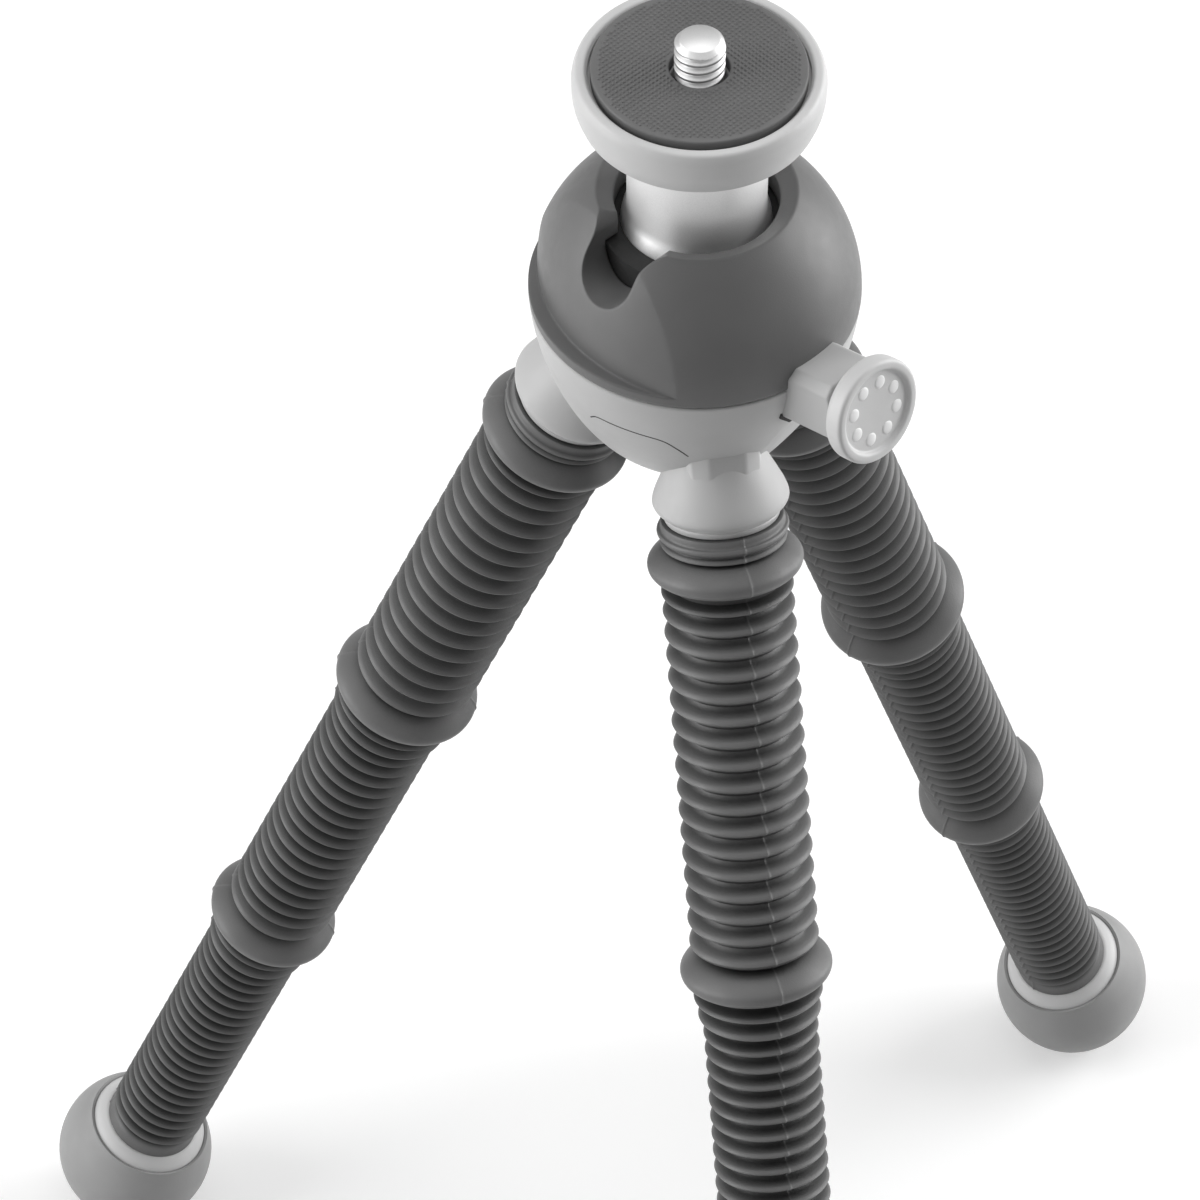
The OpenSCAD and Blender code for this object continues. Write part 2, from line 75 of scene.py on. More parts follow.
# Bulge rings and the soft cuffs round the joints
RING_OUT = 1.5
RING_TOP = -3.7
RING_VALLEY = 1.1
RING_CREST = -1.0
RING_FOOT = 1.6
UNDER_RIB = 4.2
BEND_HALF = 7.2
CUFF_TOP = 7.5
BEAD_R = 8.45
HIP_BORE = 6.4
KNEE_BORE = 5.6
ANKLE_BORE = 5.0
KNEE_TAPER = 0.9
ANKLE_TAPER = 0.8
LOW_BORE_EXTRA = 0.9
END_BORE_LESS = 0.6
HIP_SPLIT = 1.3

# Mesh steps, and the raised mould lines of the legs
RIB_STEPS = 12
SIDES = 80
LINE_TURN = 6.0
LINE_HEIGHT = 0.13
LINE_HALF_WIDTH = 0.17
LINE_STEPS = (-3, -1.9, -1.1, -0.5, 0, 0.5, 1.1, 1.9, 3)
LINE_CLEAR = 3.4
MOULD_LINES = (180 - LINE_TURN, 360 - LINE_TURN)

# Feet
LOWER_LEN = 64.9
FOOT_R = 11.2
FOOT_OPEN_R = 8.7
FOOT_WALL = 2.4
CUP_LIFT = 1.5
SLEEVE_BAND = 2.4

# Stem, plate, pad and camera screw
HEAD_BALL_R = 9.6
PLATE_R = 15.75
PAD_R = 13.4
PAD_GAP = 0.4
PAD_CELL = 0.62
PAD_TURN = 30
PAD_EDGE = 0.75
PAD_HOLE = 0.6
GRAIN_SUNK = 0.03
GRAIN_UP = 0.14
SCREW_R = 3.175
THREAD_PITCH = 1.27
THREAD_DEPTH = 0.55
THREAD_START = 1.3
SCREW_TIP_R = 2.45
SCREW_TIP_SLOPE = 1.1

# Bowl, from the seam down: its curve, its flat flank, and the line between its mouldings
SEAM = 213.998
CAVITY_R = 12.4
BOWL_R = 20.9
BOWL_DEPTH = 26.0
BOWL_WIDTH = 0.8
BOWL_FALL = 1.35
CUT_AZ = -54.27
CUT_EL = -25.05
CUT_OUT = 20.56
SEAM_LINE_HALF_W = 0.11
SEAM_LINE_HALF_D = 0.05
SEAM_PATH = [(-146, 205.6), (-142.3, 206.7), (-136, 206.95), (-124.8, 206.9), (-115.7, 206.4),
             (-110.1, 204.7), (-105.9, 202.8)]

# Dome: a sphere round DOME_Z, its mouth, its notch, and the facet, which is part of a larger
# sphere whose centre lies FACET_OFF behind the dome's
DOME_R = 21.0
DOME_Z = 215.0
MOUTH_R = 10.4
MOUTH_UP = 13.6
LIP_UP = 18.0
LIP_ROUND = 0.5
DISH = 1.1
DISH_EDGE_EL = 53.2
NOTCH_AZ = -149.5
NOTCH_W = 8.6
NOTCH_UP = 13.9
SHOULDER_R = 2.6
SHOULDER_FREE = 1.5
NOTCH_REACH = (2.0, 40.0)
FACET_AZ = -162
FACET_R = 25.91
FACET_OFF = 7.0
FACET_FROM = 6.0
LEDGE_UP = 1.7

# Lock boss and knob, measured out along the lock's axis
BOSS_W = 9.0
BOSS_CUT = 1.2
BOSS_FROM = 8.0
BOSS_TO_KNOB = 0.9
BOSS_GAP = 0.32
BOSS_GAP_OUT = 19.6
KNOB_OUT = 32.6
KNOB_R = 6.95
KNOB_T = 3.1
DOT_COUNT = 8
DOT_RING_R = 3.85
DOT_R = 0.92
DOT_LIFT = 0.18
FACE_SUNK = 0.6

# Stage
FLOOR_HALF = 3.0
FLOOR_GLOW = 0.35
WORLD_LIGHT = 0.15
CAMERA_LENS = 228.5
CAMERA_SHIFT = (-0.0385, -0.0075)
CAMERA_TARGET = (-0.00538, 0.00136, 0.15804)
CAMERA_AZ = -104.16
CAMERA_EL = 47.301
CAMERA_ROLL = 0.871
CAMERA_AWAY = 1.0


def joint_place(name):
    """Where a joint lies, in millimetres"""
    return Vector(JOINTS[name]["pos_m"]) / MM


def node_top(name):
    """Height of a CAD node's top, in millimetres"""
    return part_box(name)[1].z / MM


def node_bottom(name):
    """Height of a CAD node's foot, in millimetres"""
    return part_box(name)[0].z / MM


HIP_TO_KNEE = (joint_place("front_knee_bend") - joint_place("front_hip_bend")).length
KNEE_TO_ANKLE = (joint_place("front_ankle_bend") - joint_place("front_knee_bend")).length
KNEE = HIP_TO_KNEE
ANKLE = HIP_TO_KNEE + KNEE_TO_ANKLE
FOOT = ANKLE + LOWER_LEN
FOOT_FACE = math.sqrt(FOOT_R ** 2 - FOOT_OPEN_R ** 2)
SLEEVE_END = FOOT - FOOT_FACE - CUP_LIFT


def leg_frame(leg):
    """Local +Z runs down the leg from its hip, and local -X faces outwards"""
    hip = joint_place(leg + "_hip_bend")
    down = (joint_place(leg + "_knee_bend") - hip).normalized()
    side = Vector((0, 0, 1)).cross(Vector((hip.x, hip.y, 0))).normalized()
    inward = side.cross(down)
    placed = Matrix((inward, side, down)).transposed().to_4x4()
    placed.translation = hip
    return placed


# Meshes

SHARP = 32
CARVED_SHARP = 26
BEVEL_FROM = 20
BLOCK = 120


def make_object(name, points, faces, place, sharp=SHARP):
    """A mesh from millimetre points, put in place in metres, smooth except at sharp edges"""
    mesh = bpy.data.meshes.new(name)
    mesh.from_pydata([tuple(p) for p in points], [], faces)
    mesh.transform(Matrix.Scale(MM, 4) @ place)
    mesh.update()
    mesh.shade_smooth()
    mesh.set_sharp_from_angle(angle=math.radians(sharp))
    made = bpy.data.objects.new(name, mesh)
    bpy.context.scene.collection.objects.link(made)
    return made


def ring_angles(sides, lines):
    """Angles round a lathe, with finer steps at each mould line"""
    angles = set(i * 360 / sides for i in range(sides))
    for line in lines:
        angles = set(a for a in angles if abs((a - line + 180) % 360 - 180) > LINE_CLEAR)
        angles.update((line + step) % 360 for step in LINE_STEPS)
    return [math.radians(a) for a in sorted(angles)]


def lathe(name, outline, place, sides=SIDES, lines=(), lines_from=0.0, closed=True):
    """Revolves (radius, along) points about local Z. Points on the axis become single vertices,
    and mould lines rise at the angles in lines on radii over lines_from."""
    angles = ring_angles(sides, lines)
    count = len(angles)
    cosine, sine = np.cos(angles), np.sin(angles)
    gap = np.full(count, 1e3)
    for line in lines:
        turn = (np.degrees(angles) - line + 180) % 360 - 180
        gap = np.minimum(gap, np.abs(np.radians(turn)))
    points, rows = [], []
    for radius, along in outline:
        if radius < 1e-6:
            rows.append([len(points)])
            points.append((0, 0, along))
            continue
        r = np.full(count, radius)
        if lines and radius > lines_from:
            r += LINE_HEIGHT * np.exp(-((gap * radius / LINE_HALF_WIDTH) ** 2))
        rows.append(list(range(len(points), len(points) + count)))
        points.extend(zip(r * cosine, r * sine, np.full(count, along)))
    faces = []
    pairs = list(zip(rows, rows[1:]))
    if closed and len(rows[0]) > 1 and len(rows[-1]) > 1:
        pairs.append((rows[-1], rows[0]))
    for a, b in pairs:
        for i in range(count):
            j = (i + 1) % count
            if len(a) == 1 and len(b) > 1:
                faces.append((a[0], b[j], b[i]))
            elif len(b) == 1 and len(a) > 1:
                faces.append((a[i], a[j], b[0]))
            elif len(a) > 1:
                faces.append((a[i], a[j], b[j], b[i]))
    made = make_object(name, points, faces, place)
    face_outwards(made)
    return made


def prism_faces(count):
    """Faces of a prism whose two ends have count points each"""
    sides = [(i, (i + 1) % count, count + (i + 1) % count, count + i) for i in range(count)]
    return sides + [tuple(range(count)), tuple(range(2 * count - 1, count - 1, -1))]


def face_outwards(obj):
    """Turns all faces outwards"""
    work = bmesh.new()
    work.from_mesh(obj.data)
    bmesh.ops.recalc_face_normals(work, faces=work.faces)
    work.to_mesh(obj.data)
    work.free()


def rounded(outline, fillets, steps=5):
    """Replaces chosen corners of a closed (radius, along) outline by arcs: fillets maps an index to
    the arc's reach along both sides"""
    made = []
    count = len(outline)
    for i, corner in enumerate(outline):
        reach = fillets.get(i, 0)
        here = Vector(corner)
        before = Vector(outline[i - 1]) - here
        after = Vector(outline[(i + 1) % count]) - here
        reach = min(reach, 0.49 * before.length, 0.49 * after.length)
        if reach < 1e-4:
            made.append(tuple(here))
            continue
        start, end = here + before.normalized() * reach, here + after.normalized() * reach
        for k in range(steps + 1):
            t = k / steps
            made.append(tuple(start * (1 - t) ** 2 + here * 2 * t * (1 - t) + end * t ** 2))
    return made


def curve_through(points, steps):
    """A smooth open line through (radius, along) points"""
    made = []
    last = len(points) - 1
    for i in range(last):
        p0, p1 = Vector(points[max(i - 1, 0)]), Vector(points[i])
        p2, p3 = Vector(points[i + 1]), Vector(points[min(i + 2, last)])
        for k in range(steps):
            t = k / steps
            made.append(tuple(0.5 * (
                2 * p1 + (p2 - p0) * t + (2 * p0 - 5 * p1 + 4 * p2 - p3) * t ** 2
                + (3 * p1 - p0 - 3 * p2 + p3) * t ** 3)))
    made.append(tuple(points[-1]))
    return made


# Outlines of the sleeves

def rib(start, end, crest):
    """One round rib between two sharp valleys, without its last valley"""
    points = []
    for i in range(RIB_STEPS):
        t = i / RIB_STEPS
        swell = math.sin(math.pi * t) ** RIB_SHARPNESS
        points.append((crest - GROOVE + GROOVE * swell, start + t * (end - start)))
    return points


def ribs(start, end, count, crest):
    """A row of equal ribs, without its last valley"""
    pitch = (end - start) / count
    points = []
    for i in range(count):
        points += rib(start + i * pitch, start + (i + 1) * pitch, crest)
    return points


def ring(joint, over, under):
    """A bulge ring from its upper valley to its lower valley"""
    return curve_through([
        (over - RING_VALLEY, joint + RING_TOP),
        (over - 0.2, joint - 3.1),
        (over + 0.75, joint - 2.3),
        (over + 1.35, joint - 1.6),
        (over + RING_OUT, joint + RING_CREST),
        (over + RING_OUT - 0.2, joint - 0.3),
        (over + RING_OUT - 0.95, joint + 0.4),
        (over + RING_OUT - 2.2, joint + 0.95),
        (under - GROOVE, joint + RING_FOOT),
    ], 4)


def with_bore(outline, bore, end_bore=None):
    """Closes an outer outline round a bore, which may taper to end_bore"""
    if end_bore is None:
        end_bore = bore
    return outline + [(end_bore, outline[-1][1]), (bore, outline[0][1])]


def split_at(outline, along):
    """Cuts an open outline at one place along the leg"""
    upper = [p for p in outline if p[1] < along - 1e-6]
    lower = [p for p in outline if p[1] > along + 1e-6]
    a, b = upper[-1], lower[0]
    t = (along - a[1]) / (b[1] - a[1])
    cut = (a[0] + (b[0] - a[0]) * t, along)
    return upper + [cut], [cut] + lower


def cuff_outline(joint, over, under, taper):
    """A rib, the ring, and two ribs that shrink to the next sleeve's radius"""
    outline = rib(joint - BEND_HALF, joint + RING_TOP, over)
    outline += ring(joint, over, under + taper)
    outline += rib(joint + RING_FOOT, joint + UNDER_RIB, under + taper)[1:]
    outline += rib(joint + UNDER_RIB, joint + BEND_HALF, under + 0.55 * taper)
    return outline + [(under - GROOVE, joint + BEND_HALF)]


def hip_cuff_outline():
    """The creased bead that grips the collar, the ring and two ribs"""
    outline = curve_through([
        (BEAD_R - 1.3, -CUFF_TOP),
        (BEAD_R - 0.6, -CUFF_TOP + 0.25),
        (BEAD_R - 0.45, -CUFF_TOP + 1.1),
        (BEAD_R - 0.1, -CUFF_TOP + 1.4),
        (BEAD_R, -CUFF_TOP + 1.8),
        (BEAD_R - 0.3, -CUFF_TOP + 2.3),
        (BEAD_R - 0.8, -CUFF_TOP + 2.6),
        (BEAD_R - 0.5, -CUFF_TOP + 2.95),
        (BEAD_R - 0.35, -CUFF_TOP + 3.4),
        (UPPER_R - RING_VALLEY, RING_TOP),
    ], 4)[:-1]
    outline += ring(0, UPPER_R, UPPER_R)
    outline += rib(RING_FOOT, UNDER_RIB, UPPER_R)[1:]
    outline += rib(UNDER_RIB, BEND_HALF, UPPER_R)
    return outline + [(UPPER_R - GROOVE, BEND_HALF)]


# Materials

SHADER_SAMPLES = 6
# AO value at which the painted shade in grooves is darkest
SHADE_AO_LOW = 0.38


def srgb(level):
    """A linear grey from a 0-255 screen level"""
    return ((level / 255) ** 2.2,) * 3 + (1,)


def new_material(name):
    """A material, its nodes and links, and its main shader"""
    material = bpy.data.materials.new(name)
    material.use_nodes = True
    nodes = material.node_tree.nodes
    return material, nodes, material.node_tree.links, nodes["Principled BSDF"]


def noise(nodes, links, coords, scale, detail=3.0, roughness=0.5):
    """A noise factor, with scale in cells per metre"""
    made = nodes.new("ShaderNodeTexNoise")
    made.inputs["Scale"].default_value = scale
    made.inputs["Detail"].default_value = detail
    made.inputs["Roughness"].default_value = roughness
    links.new(coords, made.inputs["Vector"])
    return made.outputs["Fac"]


def map_range(nodes, links, value, low, high, source_low=0.3, source_high=0.7):
    """A factor taken from its source range to low and high; noise mostly lies in 0.3 to 0.7"""
    made = nodes.new("ShaderNodeMapRange")
    made.inputs["From Min"].default_value = source_low
    made.inputs["From Max"].default_value = source_high
    made.inputs["To Min"].default_value = low
    made.inputs["To Max"].default_value = high
    links.new(value, made.inputs["Value"])
    return made.outputs["Result"]


def mixed_colour(nodes, links, factor, first, second):
    """A colour between two others"""
    made = nodes.new("ShaderNodeMix")
    made.data_type = "RGBA"
    made.inputs["A"].default_value = first
    made.inputs["B"].default_value = second
    links.new(factor, made.inputs["Factor"])
    return made.outputs["Result"]


def bump(nodes, links, height, strength, distance, under=None):
    """A normal raised by a height, distance in metres, over another normal if one is given"""
    made = nodes.new("ShaderNodeBump")
    made.inputs["Strength"].default_value = strength
    made.inputs["Distance"].default_value = distance
    links.new(height, made.inputs["Height"])
    if under is not None:
        links.new(under, made.inputs["Normal"])
    return made.outputs["Normal"]


def painted_groove_shade(nodes, links, reach, low, open_from):
    """Painted shade: a colour factor that falls from 1 in the open, at open_from, to low inside
    grooves and corners, where shade falls
    """
    made = nodes.new("ShaderNodeAmbientOcclusion")
    made.samples = SHADER_SAMPLES
    made.inputs["Distance"].default_value = reach
    return map_range(nodes, links, made.outputs["AO"], low, 1.0, SHADE_AO_LOW, open_from)


def moulded(name, level, spread=5, rough=(0.42, 0.5), grain=0.00002, grain_scale=5200, edge=0.0,
            shade=None):
    """Moulded plastic or rubber of a screen level: slow cloudy colour, fine grain, and roughness
    that follows it. edge, in metres, softens corners, and shade paints shade into the colour,
    darker in grooves and corners."""
    material, nodes, links, shader = new_material(name)
    coords = nodes.new("ShaderNodeTexCoord").outputs["Object"]
    slow = noise(nodes, links, coords, 90, 2)
    fine = noise(nodes, links, coords, grain_scale, 2, 0.6)
    mid = noise(nodes, links, coords, grain_scale / 9, 3, 0.55)
    colour = mixed_colour(nodes, links, map_range(nodes, links, slow, 0, 1),
                          srgb(level - spread), srgb(level + spread))
    # Painted shade: ambient occlusion multiplies the colour down in grooves and corners
    if shade:
        dark = nodes.new("ShaderNodeMix")
        dark.data_type = "RGBA"
        dark.blend_type = "MULTIPLY"
        dark.inputs["Factor"].default_value = 1.0
        links.new(colour, dark.inputs["A"])
        links.new(painted_groove_shade(nodes, links, *shade), dark.inputs["B"])
        colour = dark.outputs["Result"]
    links.new(colour, shader.inputs["Base Color"])
    links.new(map_range(nodes, links, mid, *rough), shader.inputs["Roughness"])
    rounding = None
    if edge:
        corner = nodes.new("ShaderNodeBevel")
        corner.samples = SHADER_SAMPLES
        corner.inputs["Radius"].default_value = edge
        rounding = corner.outputs["Normal"]
    links.new(bump(nodes, links, fine, 0.6, grain, rounding), shader.inputs["Normal"])
    return material


def satin_metal(name, level, rough=(0.3, 0.38), metallic=1.0):
    """Blasted aluminium with faint turning lines"""
    material, nodes, links, shader = new_material(name)
    shader.inputs["Metallic"].default_value = metallic
    coords = nodes.new("ShaderNodeTexCoord").outputs["Object"]
    stretch = nodes.new("ShaderNodeMapping")
    stretch.inputs["Scale"].default_value = (30, 30, 9000)
    links.new(coords, stretch.inputs["Vector"])
    lines = noise(nodes, links, stretch.outputs["Vector"], 1.0, 2)
    speck = noise(nodes, links, coords, 6000, 2)
    colour = mixed_colour(nodes, links, map_range(nodes, links, speck, 0, 1),
                          srgb(level - 4), srgb(level + 4))
    links.new(colour, shader.inputs["Base Color"])
    links.new(map_range(nodes, links, speck, *rough), shader.inputs["Roughness"])
    links.new(bump(nodes, links, lines, 0.15, 0.00002), shader.inputs["Normal"])
    return material


LIGHT_PLASTIC = moulded("light_plastic", 188, 3, (0.45, 0.55))
BOWL_PLASTIC = moulded("bowl_plastic", 188, 3, (0.45, 0.55), edge=0.0004)
DARK_PLASTIC = moulded("dark_plastic", 98, 3, (0.42, 0.5), 0.000025, edge=0.0005)
BLACK_PLASTIC = moulded("black_plastic", 24, 3, (0.5, 0.6))
WHITE_PLASTIC = moulded("white_plastic", 238, 3, (0.4, 0.5))
PLATE_PLASTIC = moulded("plate_plastic", 205, 3, (0.42, 0.5))
KNOB_PLASTIC = moulded("knob_plastic", 205, 3, (0.42, 0.5))
# The sleeve rubber's colour carries painted shade, darker in the grooves between its ribs
SLEEVE_RUBBER = moulded("sleeve_rubber", 103, 5, (0.42, 0.52), 0.00004, 4200,
                        shade=(0.0045, 0.0, 0.98))
FOOT_RUBBER = moulded("foot_rubber", 150, 4, (0.55, 0.68), 0.00003, 4600)
FOOT_PLASTIC = moulded("foot_plastic", 206, 3, (0.45, 0.55))
PAD_RUBBER = moulded("pad_rubber", 102, 4, (0.5, 0.62), 0.00002, 5000, 0.0003)
SILVER = satin_metal("silver", 232, (0.42, 0.5), 0.6)
STEEL = satin_metal("steel", 196, (0.4, 0.5))
CORE_METAL = satin_metal("core_metal", 190, (0.35, 0.45))


def dress(obj, material):
    """Gives a piece or a CAD node its finish"""
    obj.data.materials.clear()
    obj.data.materials.append(material)


# Pieces of the legs


def sleeve(leg, place, part, start, end, count, crest):
    """Ribbed soft sleeve of one straight length"""
    name = leg + "_" + part + "_sleeve"
    outline = ribs(start, end, count, crest)
    outline.append((crest - GROOVE, end))
    made = lathe(name + "_skin", with_bore(outline, crest - GROOVE - SKIN), place,
                 lines=MOULD_LINES, lines_from=crest - GROOVE - 0.1)
    dress(made, SLEEVE_RUBBER)
    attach(made, leg + "_" + part)
    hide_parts(name)


def lower_sleeve(leg, place):
    """Ribs, then the smooth skirt that meets the foot"""
    start, end = ANKLE + BEND_HALF, SLEEVE_END - SLEEVE_BAND
    outline = ribs(start, end, LOWER_RIBS, LOWER_R)
    outline += curve_through([
        (LOWER_R - GROOVE, end),
        (LOWER_R - 0.6, end + 0.6),
        (LOWER_R - 0.25, end + 1.8),
        (LOWER_R - 0.1, SLEEVE_END),
    ], 4)
    made = lathe(leg + "_lower_sleeve_skin", with_bore(outline, LOWER_R - GROOVE - SKIN), place,
                 lines=MOULD_LINES, lines_from=LOWER_R - GROOVE - 0.1)
    dress(made, SLEEVE_RUBBER)
    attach(made, leg + "_lower")
    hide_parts(leg + "_lower_sleeve")


def cuff(leg, place, part, joint, outline, bore, above, below, top, split=RING_CREST):
    """The soft stretch over a joint, in two halves, upper and lower, that meet at split along from
    the joint"""
    name = leg + "_" + part + "_cuff"
    body = leg + "_" + part
    middle = joint + split
    upper, lower = split_at(outline, middle)
    low = with_bore(lower, bore + LOW_BORE_EXTRA, bore - END_BORE_LESS)
    for half, points, first, second, start, end in (
        ("top", with_bore(upper, bore), above, body, top, middle),
        ("low", low, body, below, middle, joint + BEND_HALF),
    ):
        made = lathe(name + "_" + half, points, place, lines=MOULD_LINES, lines_from=bore + 0.4)
        dress(made, SLEEVE_RUBBER)
        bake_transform(made)
        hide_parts(name)


def collar(leg, place):
    """Bell-shaped collar: a neck, a rounded bell, and a skirt with a fine step in it"""
    bell = curve_through([
        (4.7, -19.0),
        (5.1, -17.9),
        (5.9, -16.4),
        (6.75, -14.6),
        (7.7, -12.7),
        (8.4, -11.2),
        (8.73, -10.1),
        (8.6, -9.5),
        (8.2, -9.0),
        (7.72, -8.5),
    ], 5)
    skirt = [(7.55, -8.42), (7.5, -8.3), (7.58, -8.15), (7.4, -7.55), (7.2, -7.2)]
    outline = [(0, -22.9), (4.3, -22.9), (4.7, -22.5)] + bell + skirt + [(7.15, -5.1), (0, -5.1)]
    made = lathe(leg + "_collar_shell", outline, place, sides=96, closed=False)
    dress(made, LIGHT_PLASTIC)
    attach(made, "hub")
    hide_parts(leg + "_collar")


def arm(leg, place):
    """The bowl's short arm over a collar, with drafted side faces"""
    section = [(0, -5.8), (4.7, -4.5), (6.0, -2.4), (6.0, 2.4), (4.7, 4.5), (0, 5.8)]
    ends = (-22.0, -13.5)
    points = [(-out, side, along) for along in ends for out, side in section]
    made = make_object(leg + "_arm", points, prism_faces(len(section)), place)
    bevel_edges(made, 0.35)
    face_outwards(made)
    dress(made, LIGHT_PLASTIC)
    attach(made, "hub")


def bevel_edges(obj, width):
    """Rounds the edges of a mesh that turn by more than BEVEL_FROM"""
    work = bmesh.new()
    work.from_mesh(obj.data)
    edges = [e for e in work.edges if len(e.link_faces) == 2
             and e.calc_face_angle(0) > math.radians(BEVEL_FROM)]
    bmesh.ops.bevel(work, geom=edges, offset=width * MM, segments=3, profile=0.5,
                    affect="EDGES", clamp_overlap=True)
    work.to_mesh(obj.data)
    work.free()
    obj.data.shade_smooth()
    obj.data.set_sharp_from_angle(angle=math.radians(SHARP))


def foot(leg, place):
    """Rubber ball with a rounded opening, and the pale cup inside it"""
    opening = math.asin(FOOT_OPEN_R / FOOT_R)
    inner = FOOT_R - FOOT_WALL
    rim_face = FOOT - FOOT_FACE
    steps = 40
    turns = [math.pi - (math.pi - opening - 0.06) * i / steps for i in range(steps + 1)]
    outer_arc = [(FOOT_R * math.sin(a), FOOT - FOOT_R * math.cos(a)) for a in turns]
    outer_arc[0] = (0, FOOT + FOOT_R)
    rim = [
        (FOOT_OPEN_R + 0.15, rim_face - 0.1),
        (FOOT_OPEN_R - 0.15, rim_face - 0.03),
        (FOOT_OPEN_R - 0.3, rim_face + 0.15),
        (FOOT_OPEN_R - 0.3, rim_face + 1.4),
    ]
    inner_arc = [(inner * math.sin(a), FOOT - inner * math.cos(a))
                 for a in (0.9 + (math.pi - 0.9) * i / 20 for i in range(21))]
    inner_arc[-1] = (0, FOOT + inner)
    ball = lathe(leg + "_foot_rubber", outer_arc + rim + inner_arc, place, sides=96, closed=False)
    flatten(ball)
    dress(ball, FOOT_RUBBER)
    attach(ball, leg + "_lower")
    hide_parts(leg + "_foot_ball")
    cup_face = rim_face - CUP_LIFT + 0.05
    cup_outline = rounded([
        (LOWER_R - 0.5, cup_face),
        (LOWER_R + 0.15, cup_face),
        (FOOT_OPEN_R - 0.9, rim_face - 0.75),
        (FOOT_OPEN_R - 0.32, rim_face + 0.05),
        (FOOT_OPEN_R - 0.32, rim_face + 1.5),
        (inner - 0.2, FOOT - 1),
        (inner - 1.6, FOOT + 4.4),
        (LOWER_R - 2.7, FOOT + 4.4),
        (LOWER_R - 2.7, rim_face + 1.2),
        (LOWER_R - 0.5, rim_face + 1.2),
    ], {1: 0.3, 2: 1.0, 3: 0.15})
    cup = lathe(leg + "_foot_cup_face", cup_outline, place, sides=96)
    dress(cup, FOOT_PLASTIC)
    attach(cup, leg + "_lower")
    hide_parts(leg + "_foot_cup")


def flatten(obj):
    """The foot stands on a small worn flat"""
    for vertex in obj.data.vertices:
        vertex.co.z = max(vertex.co.z, 0.0)


def build_leg(leg):
    """All pieces of one leg, from its collar to its foot"""
    place = leg_frame(leg)
    collar(leg, place)
    arm(leg, place)
    sleeve(leg, place, "upper", BEND_HALF, KNEE - BEND_HALF, UPPER_RIBS, UPPER_R)
    sleeve(leg, place, "mid", KNEE + BEND_HALF, ANKLE - BEND_HALF, MID_RIBS, MID_R)
    lower_sleeve(leg, place)
    cuff(leg, place, "hip", 0, hip_cuff_outline(), HIP_BORE,
         "hub", leg + "_upper", -CUFF_TOP, HIP_SPLIT)
    cuff(leg, place, "knee", KNEE, cuff_outline(KNEE, UPPER_R, MID_R, KNEE_TAPER), KNEE_BORE,
         leg + "_upper", leg + "_mid", KNEE - BEND_HALF)
    cuff(leg, place, "ankle", ANKLE, cuff_outline(ANKLE, MID_R, LOWER_R, ANKLE_TAPER), ANKLE_BORE,
         leg + "_mid", leg + "_lower", ANKLE - BEND_HALF)
    foot(leg, place)
    for part in ("upper", "mid", "lower"):
        dress(frame["nodes"][leg + "_" + part + "_core"], CORE_METAL)


for each_leg in LEGS:
    build_leg(each_leg)


# Head

UPRIGHT = Matrix.Identity(4)


def plate_shell():
    """Round plate with a tapered side and a recess for the pad"""
    bottom = node_bottom("plate")
    rim = node_top("plate")
    outline = rounded([
        (4.2, bottom),
        (PLATE_R - 1.1, bottom),
        (PLATE_R - 0.1, rim - 4.2),
        (PLATE_R, rim - 1.2),
        (PLATE_R - 0.5, rim),
        (PAD_R + 0.75, rim),
        (PAD_R + PAD_GAP, rim - 0.5),
        (PAD_R + PAD_GAP, rim - 1.45),
        (3.6, rim - 1.45),
        (3.6, bottom + 1),
        (4.2, bottom + 1),
    ], {1: 0.55, 2: 1.2, 3: 0.6, 4: 0.45, 5: 0.3})
    made = lathe("plate_shell", outline, UPRIGHT, sides=160)
    dress(made, PLATE_PLASTIC)
    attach(made, "plate")
    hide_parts("plate")


def pad_grain(top):
    """Rows of tiny raised squares in the pad's top"""
    points, faces = [], []
    reach = int(PAD_R / PAD_CELL) + 1
    turn = math.radians(PAD_TURN)
    for row in range(-reach, reach + 1):
        for column in range(-reach, reach + 1):
            x, y = column * PAD_CELL, row * PAD_CELL
            if not SCREW_R + 2 * PAD_HOLE < math.hypot(x, y) < PAD_R - PAD_EDGE:
                continue
            first = len(points)
            for half, z in ((0.36 * PAD_CELL, top - GRAIN_SUNK), (0.22 * PAD_CELL, top + GRAIN_UP)):
                for dx, dy in ((-half, -half), (half, -half), (half, half), (-half, half)):
                    u, v = x + dx, y + dy
                    points.append((u * math.cos(turn) - v * math.sin(turn),
                                   u * math.sin(turn) + v * math.cos(turn), z))
            faces.append(tuple(first + i for i in (4, 5, 6, 7)))
            for i in range(4):
                j = (i + 1) % 4
                faces.append((first + i, first + j, first + 4 + j, first + 4 + i))
    made = make_object("plate_pad_grain", points, faces, UPRIGHT, 20)
    dress(made, PAD_RUBBER)
    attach(made, "plate")


def pad():
    """Rubber pad with a hole for the screw, and its grain"""
    top = node_top("plate_pad")
    bottom = node_bottom("plate_pad")
    hole = SCREW_R + PAD_HOLE
    outline = rounded([
        (hole, bottom),
        (PAD_R, bottom),
        (PAD_R, top),
        (hole, top),
    ], {2: 0.3, 3: 0.15})
    made = lathe("plate_pad_rubber", outline, UPRIGHT, sides=160)
    pad_grain(top)
    dress(made, PAD_RUBBER)
    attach(made, "plate")
    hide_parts("plate_pad")


